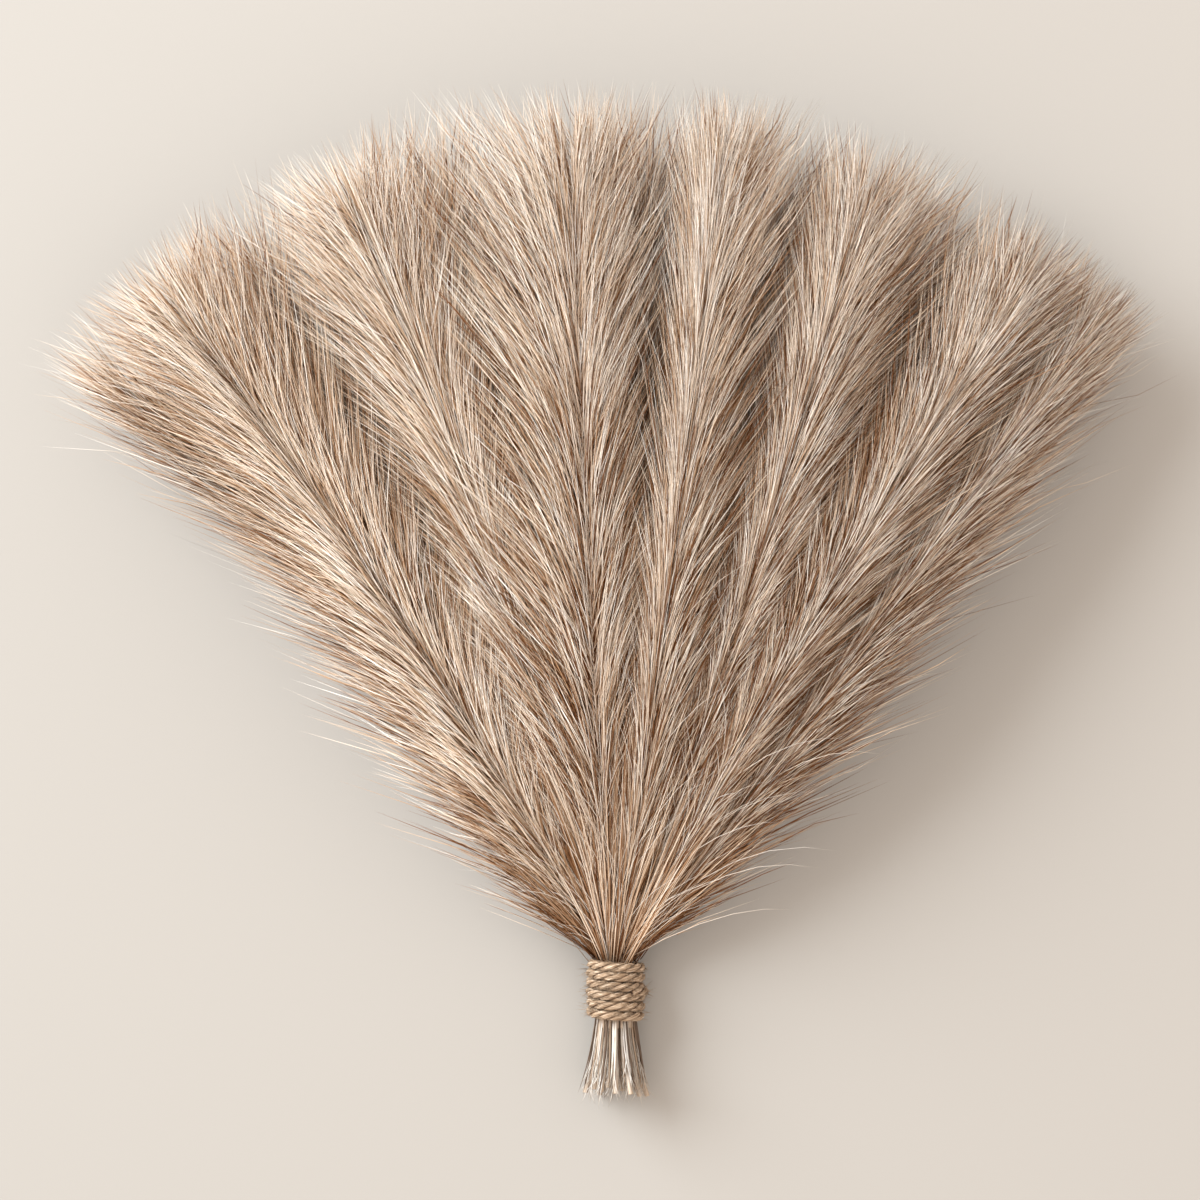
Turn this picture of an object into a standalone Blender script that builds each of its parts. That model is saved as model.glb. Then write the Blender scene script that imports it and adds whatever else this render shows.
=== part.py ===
"""A bundle of nineteen dried pampas grass stalks, bound with twine into a fan and lying on a surface.

Each stalk grew as one piece and is one solid: the bare straw below the tie, the straw through it, and the
plume above it, whose slim core is covered all round with tufts of hair that lean towards the tip. The stalks
lie in three layers, and every plume keeps to its own room between its neighbours. The tie is one length of
twine, wound round the stalks and pressed flat where it rests on the surface.

Units are metres, +Z is up. The origin is on the surface under the middle of the tie, and +Y runs up the fan.
"""

import math
import random

import bmesh
import bpy
import numpy as np
from mathutils import Vector

# The stalks where they pass the tie, and below it
STALK_RADIUS = 0.00145
STALK_SPACING = 0.0032
CUT_END_RADIUS = 0.0022
TAIL_LENGTH = 0.0285
TAIL_UNEVENNESS = 0.0030
TAIL_FLARE = 0.55

# The twine
TWINE_RADIUS = 0.0019
TWINE_PITCH = 0.0039
TWINE_TURNS = 5.5
STATIONS_PER_TURN = 20
TWINE_SIDES = 8
SEAT_GAP = 0.0003
FLAT_DEPTH = 0.00035

# The fan, measured in plan from where the stalks leave the tie
PLUME_START = 0.019
AXIS_LENGTH = 0.300
PLUME_LENGTH = 0.346
SHORTER_AT_SIDES = 0.041
SIDE_LEAN = 37
HEADING_AT_TIE = 0.68
HEADING_GAIN = 0.64
HEADING_BEND = 0.012

# How a layer rises from the tie to its height, and droops to the tips
RISE_START = 0.007
RISE_BEND = 0.010
PEAK_AT = 0.165
DROOP = 0.28

# The plumes
SIDES = 6
PLUME_RINGS = 21
CORE_HALF_WIDTH = 0.0036
CORE_HALF_HEIGHT = 0.0030
CORE_SWELL_LENGTH = 0.120
CORE_TIP_RADIUS = 0.0008
ROOM_GAP = 0.0005
SHORTEST_TUFT = 0.88
SQUARENESS = 0.65
TIP_THINNING = 0.45
TIP_SHARE = 0.3

# Half the width that a plume takes where it is free, and the depth of hair above the upper layer, both as
# (distance along the plume, size) knots, and how far along the plume a tuft reaches from its root
HALF_WIDTH = ((0, 0.005), (0.04, 0.022), (0.08, 0.034), (0.15, 0.041), (0.22, 0.039), (0.29, 0.029),
              (0.325, 0.014), (PLUME_LENGTH, 0.006))
TOP_DEPTH = ((0, 0.003), (0.03, 0.006), (0.09, 0.0125), (0.20, 0.0135), (PLUME_LENGTH, 0.006))
TUFT_REACH = ((PLUME_START, 0.026), (0.11, 0.056), (AXIS_LENGTH, PLUME_LENGTH - AXIS_LENGTH))

# The layers: the height that each lies at, the row and place of each stalk in the tie (rows count from the
# middle one, places are in stalk spacings), and each stalk's lean in degrees from +Y towards +X
LAYERS = {
    "lower": {
        "height": 0.0135,
        "slots": ((-1, -1.5), (-2, -1), (-1, -0.5), (-2, 0), (-1, 0.5), (-2, 1), (-1, 1.5)),
        "leans": (-41.5, -28.5, -15, -1, 12, 25.5, 38.5),
    },
    "middle": {
        "height": 0.0320,
        "slots": ((0, -2), (0, -1), (0, 0), (0, 1), (0, 2)),
        "leans": (-32, -12.5, 2, 22.5, 35),
    },
    "upper": {
        "height": 0.0505,
        "slots": ((1, -1.5), (2, -1), (1, -0.5), (2, 0), (1, 0.5), (2, 1), (1, 1.5)),
        "leans": (-37, -22, -3, 7.5, 17.5, 28.5, 38.5),
    },
}
LAYER_ORDER = tuple(LAYERS)

STRAW_COLOUR = (0.56, 0.43, 0.32)
TWINE_COLOUR = (0.45, 0.28, 0.16)
SEED = 7
STEP = 0.002

TIE_HALF_LENGTH = TWINE_PITCH * TWINE_TURNS / 2 + TWINE_RADIUS
COIL_RADIUS = 2 * STALK_SPACING + STALK_RADIUS + SEAT_GAP + TWINE_RADIUS
TIE_HEIGHT = COIL_RADIUS + TWINE_RADIUS - FLAT_DEPTH
ROW_HEIGHT = STALK_SPACING * math.sqrt(3) / 2
RIGHT, UP = Vector((1, 0, 0)), Vector((0, 0, 1))


def smooth(x):
    """0 below 0, 1 above 1 and an even S between."""
    x = min(max(x, 0.0), 1.0)
    return x * x * (3 - 2 * x)


def read(knots, x):
    """The size at x, along straight runs between (distance, size) knots."""
    return float(np.interp(x, *zip(*knots)))


def from_tie(point):
    """How far a point is in plan from the middle of the tie's upper end."""
    return math.hypot(point.x, point.y - TIE_HALF_LENGTH)


def climb(distance):
    """The share of its rise that a layer has made at a distance from the tie."""
    run = max(distance - RISE_START, 0.0)
    share = run * run / (run + RISE_BEND) / PEAK_AT
    return share * (2 - share) if share < 1 else 1 - DROOP * (share - 1) ** 2


def rise(start, layer, distance):
    """The height at a distance from the tie of what leaves the tie at a height in a layer."""
    return start + (LAYERS[layer]["height"] - start) * climb(distance)


def layer_height(layer, distance):
    """The middle of a layer's stalks."""
    rows = [row for row, _ in LAYERS[layer]["slots"]]
    return rise(TIE_HEIGHT + ROW_HEIGHT * sum(rows) / len(rows), layer, distance)


def layer_top(layer, distance):
    """The height up to which a layer's hair may stand."""
    if layer == LAYER_ORDER[-1]:
        return layer_height(layer, distance) + read(TOP_DEPTH, distance)
    above = LAYER_ORDER[LAYER_ORDER.index(layer) + 1]
    return (layer_height(layer, distance) + layer_height(above, distance)) / 2 - ROOM_GAP


def layer_bottom(layer, distance):
    """The height down to which a layer's hair may hang: the lower layer's lies on the surface."""
    if layer == LAYER_ORDER[0]:
        return 0.0
    below = LAYER_ORDER[LAYER_ORDER.index(layer) - 1]
    return (layer_height(layer, distance) + layer_height(below, distance)) / 2 + ROOM_GAP


class Stalk:
    """A stalk's centre line above the tie, followed in plan, and the room for its hair on both sides."""

    def __init__(self, layer, row, place, lean):
        self.layer = layer
        self.row, self.place = row, place
        self.length = PLUME_LENGTH * (1 - SHORTER_AT_SIDES * (lean / SIDE_LEAN) ** 2)
        self.steps = np.arange(0, PLUME_LENGTH + STEP, STEP)
        bend = np.array([smooth(step / HEADING_BEND) for step in self.steps])
        shares = HEADING_AT_TIE + HEADING_GAIN * self.steps / PLUME_LENGTH
        self.headings = math.radians(lean) * bend * shares
        moves = STEP * np.column_stack((np.sin(self.headings), np.cos(self.headings)))
        start = np.array([place * STALK_SPACING, TIE_HALF_LENGTH])
        self.plan = np.vstack((start, start + np.cumsum(moves, axis=0)[:-1]))
        self.room = {}

    def leave_room(self, side, neighbour):
        """Half of the way to the neighbour on that side (-1 left, 1 right) is this stalk's room."""
        apart = np.linalg.norm(self.plan[:, None] - neighbour.plan[None], axis=2).min(axis=1)
        self.room[side] = apart / 2 - ROOM_GAP

    def half_width(self, along, side):
        """How far the hair spreads to a side: less towards the tip, and never past its room."""
        free = read(HALF_WIDTH, along * PLUME_LENGTH / self.length)
        return min(free, float(np.interp(along, self.steps, self.room[side]))) if side in self.room else free

    def across(self, along):
        """The level direction to the right of the stalk."""
        heading = np.interp(along, self.steps, self.headings)
        return Vector((math.cos(heading), -math.sin(heading), 0))

    def beside(self, along, sideways):
        """The point beside the stalk, at the height that the stalk has at that distance from the tie."""
        x, y = (np.interp(along, self.steps, column) for column in self.plan.T)
        point = Vector((x, y, 0)) + sideways * self.across(along)
        point.z = rise(TIE_HEIGHT + self.row * ROW_HEIGHT, self.layer, from_tie(point))
        return point

    def tuft_tip(self, along, angle):
        """The end of the tuft that is rooted at a distance along the stalk and at an angle round it."""
        end = min(along + read(TUFT_REACH, along), self.length)
        side = 1 if math.cos(angle) > 0 else -1
        tip = self.beside(end, side * abs(math.cos(angle)) ** SQUARENESS * self.half_width(end, side))
        edge = layer_top if math.sin(angle) > 0 else layer_bottom
        thin = 1 - TIP_THINNING * smooth(1 - (self.length - end) / (TIP_SHARE * self.length))
        tip.z += abs(math.sin(angle)) * thin * (edge(self.layer, from_tie(tip)) - tip.z)
        return tip


def make_stalks():
    """All stalks by name, from left to right in each layer, each with its room beside its neighbours."""
    stalks = {}
    for layer, given in LAYERS.items():
        row = [Stalk(layer, *slot, lean) for slot, lean in zip(given["slots"], given["leans"])]
        for left, right in zip(row, row[1:]):
            left.leave_room(1, right)
            right.leave_room(-1, left)
        stalks.update({f"plume_{layer}_{number}": stalk for number, stalk in enumerate(row, 1)})
    return stalks


def add_ring(bm, centre, right, up, sides=SIDES, turn=0.0):
    """A ring with these vectors to its right and to its top, turned by a share of a side."""
    angles = [2 * math.pi * (number + turn) / sides for number in range(sides)]
    return [bm.verts.new(centre + right * math.cos(angle) + up * math.sin(angle)) for angle in angles]


def join_rings(bm, rings):
    """The walls between rings of as many points, one after the other."""
    for lower, upper in zip(rings, rings[1:]):
        for side in range(len(lower)):
            after = (side + 1) % len(lower)
            bm.faces.new((lower[side], lower[after], upper[after], upper[side]))


def add_tail_rings(bm, stalk, rng):
    """The rings of the straw below the tie, from the cut end up. The stalks spread and thicken downwards."""
    length = TAIL_LENGTH + rng.uniform(0, TAIL_UNEVENNESS)
    rings = []
    for share in (1.0, 0.6, 0.25, 0.0):
        spread = 1 - (1 - share) ** 2
        x = stalk.place * STALK_SPACING * (1 + TAIL_FLARE * spread)
        z = TIE_HEIGHT + stalk.row * ROW_HEIGHT * (1 + TAIL_FLARE * spread)
        radius = STALK_RADIUS + (CUT_END_RADIUS - STALK_RADIUS) * spread
        centre = Vector((x, -TIE_HALF_LENGTH - share * length, z))
        rings.append(add_ring(bm, centre, radius * RIGHT, radius * UP))
    return rings


def core_size(along, axis_length):
    """Half the width and half the height of a plume's core: it swells above the straw, and its outer half
    thins to the end."""
    swell = smooth((along - PLUME_START) / CORE_SWELL_LENGTH)
    thin = smooth(2 * along / axis_length - 1)
    sizes = [STALK_RADIUS + (widest - STALK_RADIUS) * swell for widest in (CORE_HALF_WIDTH, CORE_HALF_HEIGHT)]
    return [size + (CORE_TIP_RADIUS - size) * thin for size in sizes]


def add_tuft(bm, triangle, stalk, along, angle, length):
    """Raise a triangle of the core into a tuft of hair, three faces that meet at its tip."""
    root = sum((vert.co for vert in triangle), Vector()) / 3
    tip = bm.verts.new(root.lerp(stalk.tuft_tip(along, angle), length))
    for number in range(3):
        bm.faces.new((triangle[number], triangle[(number + 1) % 3], tip))


def add_tufts(bm, stalk, alongs, rings, rng):
    """Cover the core between its rings with tufts. A tuft that points straight down keeps its full length,
    so that the lower plumes lie evenly on the surface."""
    for number, (lower, upper) in enumerate(zip(rings, rings[1:])):
        turn = 0.5 * (number % 2)
        step = alongs[number + 1] - alongs[number]
        for side in range(SIDES):
            after = (side + 1) % SIDES
            peak, next_peak = (after, (side + 2) % SIDES) if turn else (side, after)
            middle = 2 * math.pi * (side + 0.5 + turn) / SIDES
            tufts = (
                ((lower[side], lower[after], upper[peak]), alongs[number] + step / 3, middle),
                ((lower[after], upper[next_peak], upper[peak]), alongs[number] + step * 2 / 3,
                 middle + math.pi / SIDES),
            )
            for triangle, along, angle in tufts:
                length = 1.0 if math.sin(angle) < -0.999 else rng.uniform(SHORTEST_TUFT, 1)
                add_tuft(bm, triangle, stalk, along, angle, length)


def make_plume(name, stalk, material, parent, rng):
    """One stalk with its plume, as one closed solid."""
    bm = bmesh.new()
    straw_rings = add_tail_rings(bm, stalk, rng)
    for along in np.linspace(0, PLUME_START, 5)[:-1]:
        right, up = STALK_RADIUS * stalk.across(along), STALK_RADIUS * UP
        straw_rings.append(add_ring(bm, stalk.beside(along, 0), right, up))

    axis_length = AXIS_LENGTH * stalk.length / PLUME_LENGTH
    alongs = np.linspace(PLUME_START, axis_length, PLUME_RINGS).tolist()
    plume_rings = []
    for number, along in enumerate(alongs):
        half_width, half_height = core_size(along, axis_length)
        right, up = half_width * stalk.across(along), half_height * UP
        plume_rings.append(add_ring(bm, stalk.beside(along, 0), right, up, turn=0.5 * (number % 2)))

    bm.faces.new(straw_rings[0])
    join_rings(bm, straw_rings + plume_rings[:1])
    add_tufts(bm, stalk, alongs, plume_rings, rng)

    tip = bm.verts.new(stalk.beside(stalk.length, 0))
    for side in range(SIDES):
        bm.faces.new((plume_rings[-1][side], plume_rings[-1][(side + 1) % SIDES], tip))
    return add_object(name, bm, material, parent)


def make_twine(material, parent):
    """The tie: one helix round the stalks, with plain ends, pressed flat on the surface."""
    bm = bmesh.new()
    stations = round(TWINE_TURNS * STATIONS_PER_TURN)
    rings = []
    for station in range(stations + 1):
        turns = (station / stations - 0.5) * TWINE_TURNS
        angle = 2 * math.pi * turns
        outward = Vector((math.sin(angle), 0, -math.cos(angle)))
        centre = Vector((0, turns * TWINE_PITCH, TIE_HEIGHT)) + outward * COIL_RADIUS
        along = Vector((math.cos(angle), TWINE_PITCH / (2 * math.pi * COIL_RADIUS), math.sin(angle)))
        beside = along.normalized().cross(outward)
        rings.append(add_ring(bm, centre, TWINE_RADIUS * outward, TWINE_RADIUS * beside, TWINE_SIDES, 0.5))
    join_rings(bm, rings)
    bm.faces.new(rings[0])
    bm.faces.new(rings[-1])
    twine = add_object("twine_tie", bm, material, parent)

    bm = bmesh.new()
    bmesh.ops.create_cube(bm, size=4 * COIL_RADIUS)
    bmesh.ops.translate(bm, verts=bm.verts, vec=-2 * COIL_RADIUS * UP)
    surface = add_object("surface_cutter", bm, material, parent)
    surface.hide_render = True
    surface.display_type = "WIRE"
    flat = twine.modifiers.new("pressed_flat", "BOOLEAN")
    flat.operation = "DIFFERENCE"
    flat.object = surface
    return twine


def add_object(name, bm, material, parent):
    """An object of the mesh, with its faces pointing out."""
    bmesh.ops.recalc_face_normals(bm, faces=bm.faces)
    mesh = bpy.data.meshes.new(name)
    bm.to_mesh(mesh)
    bm.free()
    mesh.materials.append(material)
    made = bpy.data.objects.new(name, mesh)
    made.parent = parent
    bpy.context.collection.objects.link(made)
    return made


def make_material(name, colour, roughness):
    material = bpy.data.materials.new(name)
    material.use_nodes = True
    shader = material.node_tree.nodes["Principled BSDF"]
    shader.inputs["Base Color"].default_value = (*colour, 1)
    shader.inputs["Roughness"].default_value = roughness
    shader.inputs["Metallic"].default_value = 0
    return material


def build():
    for old in list(bpy.data.objects):
        bpy.data.objects.remove(old)
    rng = random.Random(SEED)
    bundle = bpy.data.objects.new("pampas_bundle", None)
    bpy.context.collection.objects.link(bundle)
    straw = make_material("dried_pampas", STRAW_COLOUR, 0.85)
    for name, stalk in make_stalks().items():
        make_plume(name, stalk, straw, bundle, rng)
    make_twine(make_material("jute_twine", TWINE_COLOUR, 0.9), bundle)


build()
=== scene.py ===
"""The looks of a bundle of nineteen dried pampas grass stalks, bound with jute twine into a flat fan.

Every stalk is one piece: the cut straw below the tie, the stem through it and the hair of its plume. They
lie in the three layers of the frame. The twine with its loose fibres comes next, and the floor, the light and
the camera come last.
"""

import math

import bpy
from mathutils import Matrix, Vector


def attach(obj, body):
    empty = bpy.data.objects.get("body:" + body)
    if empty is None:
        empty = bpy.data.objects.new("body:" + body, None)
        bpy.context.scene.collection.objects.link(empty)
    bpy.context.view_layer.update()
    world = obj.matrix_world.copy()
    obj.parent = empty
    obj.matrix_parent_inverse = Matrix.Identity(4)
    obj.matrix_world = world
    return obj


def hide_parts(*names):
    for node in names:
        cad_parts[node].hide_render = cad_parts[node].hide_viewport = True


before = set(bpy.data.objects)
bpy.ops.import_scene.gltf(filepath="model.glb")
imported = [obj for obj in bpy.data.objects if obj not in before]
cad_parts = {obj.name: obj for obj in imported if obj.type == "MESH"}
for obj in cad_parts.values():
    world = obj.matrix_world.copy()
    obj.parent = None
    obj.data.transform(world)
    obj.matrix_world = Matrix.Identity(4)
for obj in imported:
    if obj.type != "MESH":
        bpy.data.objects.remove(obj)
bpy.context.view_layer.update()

# ---------------------------------------------------------------------------------------------------------
# The stalks. Each is a dried flower stem: a plume of soft hair on a thin stem, and a bare straw below the tie
# that was cut with shears and split into fibres. They are gathered by hand in three layers and held by the tie.
# ---------------------------------------------------------------------------------------------------------

STALK_SPACING = 0.0032
STALK_RADIUS = 0.00145
ROW_HEIGHT = STALK_SPACING * math.sqrt(3) / 2
TIE_HALF_LENGTH = 0.012625
TIE_HEIGHT = 0.0116
LOWEST = 0.0002
LEAN_BEND = 0.022
PLUME_LENGTH = 0.346
SHORTER_AT_SIDES = 0.041
SIDE_LEAN = 37
LEAN_SHARE_AT_TIE = 0.68
RISE_START, RISE_BEND, PEAK_AT, DROOP = 0.007, 0.010, 0.165, 0.28

# Each layer's height, and for each stalk from left to right its row and place in the tie and its lean in
# degrees, or its leans at the tie and at the tip. On top also how far it is lifted, the width of its hair on
# the left and right, and how clearly its middle shows
LAYERS = {
    "lower": {
        "height": 0.0135,
        "slots": ((-1, -1.5), (-2, -1), (-1, -0.5), (-2, 0), (-1, 0.5), (-2, 1), (-1, 1.5)),
        "leans": (-41.5, -28.5, -15, -1, 12, 25.5, 38.5),
    },
    "middle": {
        "height": 0.0320,
        "slots": ((0, -2), (0, -1), (0, 0), (0, 1), (0, 2)),
        "leans": (-32, -12.5, 2, 22.5, 35),
    },
    "upper": {
        "height": 0.0505,
        "slots": ((1, -1.5), (2, -1), (1, -0.5), (2, 0), (1, 0.5), (2, 1), (1, 1.5)),
        "leans": ((-27.5, -33.5), (-12, -19), (-3.8, -2.8), (8.5, 7.2), (20, 17.5), (27, 31), (35.5, 36)),
        "lifts": (0.0020, 0.0000, 0.0080, 0.0095, 0.0040, 0.0060, -0.0020),
        "widths": ((0.043, 0.046), (0.046, 0.053), (0.060, 0.038), (0.018, 0.038), (0.032, 0.042),
                   (0.038, 0.028), (0.024, 0.043)),
        "ridges": (1.0, 0.3, 1.0, 0.6, 0.7, 0.5, 0.2),
    },
}


class Flow:
    """A value that flows through a node tree. Sums and products of it place the nodes that work them out."""

    def __init__(self, tree, socket):
        self.tree, self.socket = tree, socket

    def __add__(self, other):
        return maths("ADD", self, other)

    def __radd__(self, other):
        return maths("ADD", other, self)

    def __sub__(self, other):
        return maths("SUBTRACT", self, other)

    def __rsub__(self, other):
        return maths("SUBTRACT", other, self)

    def __mul__(self, other):
        return maths("MULTIPLY", self, other)

    def __rmul__(self, other):
        return maths("MULTIPLY", other, self)

    def __truediv__(self, other):
        return maths("DIVIDE", self, other)

    def __pow__(self, other):
        return maths("POWER", self, other)


def feed(socket, value):
    """Gives a socket a flow or a plain value."""
    if isinstance(value, Flow):
        value.tree.links.new(value.socket, socket)
    elif socket.type == "VECTOR" and isinstance(value, (int, float)):
        socket.default_value = (value,) * 3
    else:
        socket.default_value = value


def maths(operation, *values):
    """One step of arithmetic, on vectors where any of the values is one."""
    tree = next(value.tree for value in values if isinstance(value, Flow))
    vectors = any(isinstance(value, tuple) or isinstance(value, Flow) and value.socket.type == "VECTOR"
                  for value in values)
    node = tree.nodes.new("ShaderNodeVectorMath" if vectors else "ShaderNodeMath")
    node.operation = operation
    for socket, value in zip(node.inputs, values):
        feed(socket, value)
    return Flow(tree, node.outputs["Value" if operation in ("DOT_PRODUCT", "LENGTH") else 0])


def place(tree, kind, outlet=0, settings=None, **given):
    """Places a node, sets it up, feeds the sockets named in given and returns what flows out of one outlet."""
    node = tree.nodes.new(kind)
    for name, value in (settings or {}).items():
        setattr(node, name, value)
    for name, value in given.items():
        words = name.replace("_", " ")
        feed(next(s for s in node.inputs if s.name.lower() == words and s.enabled), value)
    return Flow(tree, node.outputs[outlet])


def blend(start, end, share):
    return start + (end - start) * share


def limited(value, lowest, highest):
    return maths("MAXIMUM", maths("MINIMUM", value, highest), lowest)


def vector(x, y, z):
    tree = next(value.tree for value in (x, y, z) if isinstance(value, Flow))
    return place(tree, "ShaderNodeCombineXYZ", x=x, y=y, z=z)


def parts_of(value):
    node = value.tree.nodes.new("ShaderNodeSeparateXYZ")
    feed(node.inputs[0], value)
    return [Flow(value.tree, socket) for socket in node.outputs]


def curve_through(value, points):
    """A smooth curve through (share, share) points."""
    node = value.tree.nodes.new("ShaderNodeFloatCurve")
    feed(node.inputs["Value"], value)
    curve = node.mapping.curves[0]
    for point in points[1:-1]:
        curve.points.new(*point)
    for knot, point in zip(curve.points, points):
        knot.location = point
    node.mapping.update()
    return Flow(value.tree, node.outputs[0])


def chance(tree, seed, salt, key, low=0.0, high=1.0):
    """A random number for each value of key, the same on each run."""
    node = tree.nodes.new("FunctionNodeRandomValue")
    node.data_type = "FLOAT"
    for name, value in (("Min", low), ("Max", high), ("ID", key), ("Seed", seed + salt)):
        feed(next(s for s in node.inputs if s.name == name and s.enabled), value)
    return Flow(tree, next(s for s in node.outputs if s.enabled))


def stored(tree, geometry, name, value, kind="FLOAT", domain="POINT"):
    return place(tree, "GeometryNodeStoreNamedAttribute", settings={"data_type": kind, "domain": domain},
                 geometry=geometry, name=name, value=value)


def recalled(tree, name, kind="FLOAT"):
    return place(tree, "GeometryNodeInputNamedAttribute", settings={"data_type": kind}, name=name)


def new_tree(name, inputs, outputs):
    """A geometry node group with these (name, socket kind) inputs and outputs, and its input flows by name."""
    tree = bpy.data.node_groups.new(name, "GeometryNodeTree")
    for label, kind in inputs:
        tree.interface.new_socket(label, in_out="INPUT", socket_type="NodeSocket" + kind)
    for label, kind in outputs:
        tree.interface.new_socket(label, in_out="OUTPUT", socket_type="NodeSocket" + kind)
    entry = tree.nodes.new("NodeGroupInput")
    return tree, {label: Flow(tree, entry.outputs[label]) for label, _ in inputs}


def hand_out(tree, **results):
    """Joins the results to the tree's outputs."""
    way_out = tree.nodes.new("NodeGroupOutput")
    for name, value in results.items():
        feed(way_out.inputs[name.replace("_", " ").title()], value)


def use_group(tree, group, **given):
    node = tree.nodes.new("GeometryNodeGroup")
    node.node_tree = group
    for name, value in given.items():
        feed(node.inputs[name.replace("_", " ").title()], value)
    return Flow(tree, node.outputs[0])


# Strands of one tone share a column of the chart, and their length runs up it
BAKE_COLUMNS = 48
CHART_FOOT, CHART_RISE = 0.01, 0.98


def make_strand_group():
    """Turns points into strands: each is swept from its root past a bend to its tip, and tapers to a point."""
    tree, given = new_tree("swept_strands", (
        ("Points", "Geometry"), ("Sides", "Int"), ("Segments", "Int"), ("Root", "Vector"), ("Bend", "Vector"),
        ("Tip", "Vector"), ("Radius", "Float"), ("Thinness", "Float"), ("Tone", "Float"), ("Blunt", "Float"),
        ("Chart Start", "Float"), ("Chart Width", "Float")), (("Strands", "Geometry"),))
    points = given["Points"]
    for name in ("Root", "Bend", "Tip"):
        points = stored(tree, points, name.lower(), given[name], "FLOAT_VECTOR")
    for name, value in (("girth", given["Radius"]), ("tone", given["Tone"])):
        points = stored(tree, points, name, value)
    pattern = place(tree, "GeometryNodeMeshCone", vertices=given["Sides"], side_segments=given["Segments"],
                    radius_top=0.0, radius_bottom=1.0, depth=1.0)
    strands = place(tree, "GeometryNodeInstanceOnPoints", points=points, instance=pattern)
    strands = place(tree, "GeometryNodeRealizeInstances", geometry=strands)

    x, y, along = parts_of(place(tree, "GeometryNodeInputPosition"))
    root, bend, tip = (recalled(tree, name, "FLOAT_VECTOR") for name in ("root", "bend", "tip"))
    back = 1 - along
    centre = root * (back * back) + bend * (2 * along * back) + tip * (along * along)
    heading = maths("NORMALIZE", (bend - root) * back + (tip - bend) * along)
    beside = maths("NORMALIZE", maths("CROSS_PRODUCT", heading, (0.0, 0.0, 1.0)))
    over = maths("CROSS_PRODUCT", beside, heading)
    # The cone narrows evenly; a blunt strand keeps its width for longer
    girth = recalled(tree, "girth") * (1 + along * (1 + given["Blunt"]))
    spot = centre + beside * (x * girth) + over * (y * girth * (1 - given["Thinness"]))
    sx, sy, sz = parts_of(spot)
    spot = vector(sx, sy, maths("MAXIMUM", sz, LOWEST))
    strands = stored(tree, strands, "along", along)
    across = (x + 0.5 * y + 1) / 2.2
    column = maths("FLOOR", limited(recalled(tree, "tone"), 0, 0.999) * BAKE_COLUMNS) + 0.2 + 0.6 * across
    chart = vector(given["Chart Start"] + given["Chart Width"] * column / BAKE_COLUMNS,
                   CHART_FOOT + CHART_RISE * along, 0.0)
    strands = stored(tree, strands, "OFBake", chart, "FLOAT2", "CORNER")
    strands = place(tree, "GeometryNodeSetPosition", geometry=strands, position=spot)
    strands = place(tree, "GeometryNodeSetShadeSmooth", geometry=strands)
    for name in ("root", "bend", "tip", "girth"):
        strands = place(tree, "GeometryNodeRemoveAttribute", geometry=strands, name=name)
    hand_out(tree, strands=strands)
    return tree


STALK_INPUTS = (("Start", "Float"), ("Start Height", "Float"), ("Height", "Float"), ("Lean At Tie", "Float"),
                ("Lean At Tip", "Float"), ("Length", "Float"))


def make_beside_group():
    """The place beside a stalk, by the distance along it from the tie, the distance to its right and above."""
    tree, given = new_tree("beside_stalk", STALK_INPUTS + (
        ("Along", "Float"), ("Sideways", "Float"), ("Above", "Float")), (("Place", "Vector"),))
    along, sideways = given["Along"], given["Sideways"]
    bent = limited(along / LEAN_BEND, 0, 1)
    bent = bent * bent * (3 - 2 * bent)
    change = (given["Lean At Tip"] - given["Lean At Tie"]) / given["Length"]
    lean = (given["Lean At Tie"] + change * along) * bent
    heading = lean + change * along * bent
    x = given["Start"] + along * maths("SINE", lean) + sideways * maths("COSINE", heading)
    y = along * maths("COSINE", lean) - sideways * maths("SINE", heading)
    run = maths("MAXIMUM", maths("SQRT", x * x + y * y) - RISE_START, 0) * maths("GREATER_THAN", along, 0)
    share = run * run / (run + RISE_BEND) / PEAK_AT
    short = 1 - share
    climb = 1 - short * short * blend(1, DROOP, maths("GREATER_THAN", share, 1))
    z = given["Start Height"] + (given["Height"] - given["Start Height"]) * climb + given["Above"]
    hand_out(tree, place=vector(x, y + TIE_HALF_LENGTH, z))
    return tree


strand_group = make_strand_group()
beside_group = make_beside_group()

HAIR_START, HAIR_END_SHARE = -0.002, 0.885
HAIRS_PER_LOCK = 5
STRAY_SHARE, DARK_SHARE = 0.20, 0.23
WIDEST_OPEN, FURTHEST_CROSSED = 1.35, -1.1
STEM_ROOM = 0.0025
NARROWS_FROM, RISES_FROM = 0.6, 0.5
BRANCH_DEPTH = 0.007
TOP_HEAVINESS = 1.35
WISPS = 30
WISP_SWING = 0.8
STRAW_LENGTH = 0.0305
STRAW_FLARE = 1.0
STRAW_TONE = 0.4
SPLITS = 11
# The share of splits painted dark, as painted shade in the gaps between the straws
DARK_SPLIT_SHARE = 0.2
FRAYS = 18
# How each measure changes from the tie to the tip, or for the straw to its cut end: (share of the way, share)
WIDTH_ALONG = ((0, 0.12), (0.1, 0.5), (0.24, 0.85), (0.45, 1), (1, 1))
DEPTH_ALONG = ((0, 0.1), (0.12, 0.45), (0.3, 0.95), (0.6, 1), (0.85, 0.75), (1, 0.45))
HAIR_LENGTH_ALONG = ((0, 0.14), (0.12, 0.21), (0.35, 0.25), (0.7, 0.27), (0.9, 0.24), (1, 0.22))
STEM_GIRTH_ALONG = ((0, 1), (0.05, 0.9), (0.08, 0.27), (0.2, 0.21), (1, 0.12))
STRAW_GIRTH_ALONG = ((0, 0.8), (0.4, 0.6), (0.8, 0.7), (1, 0.7))
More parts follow.
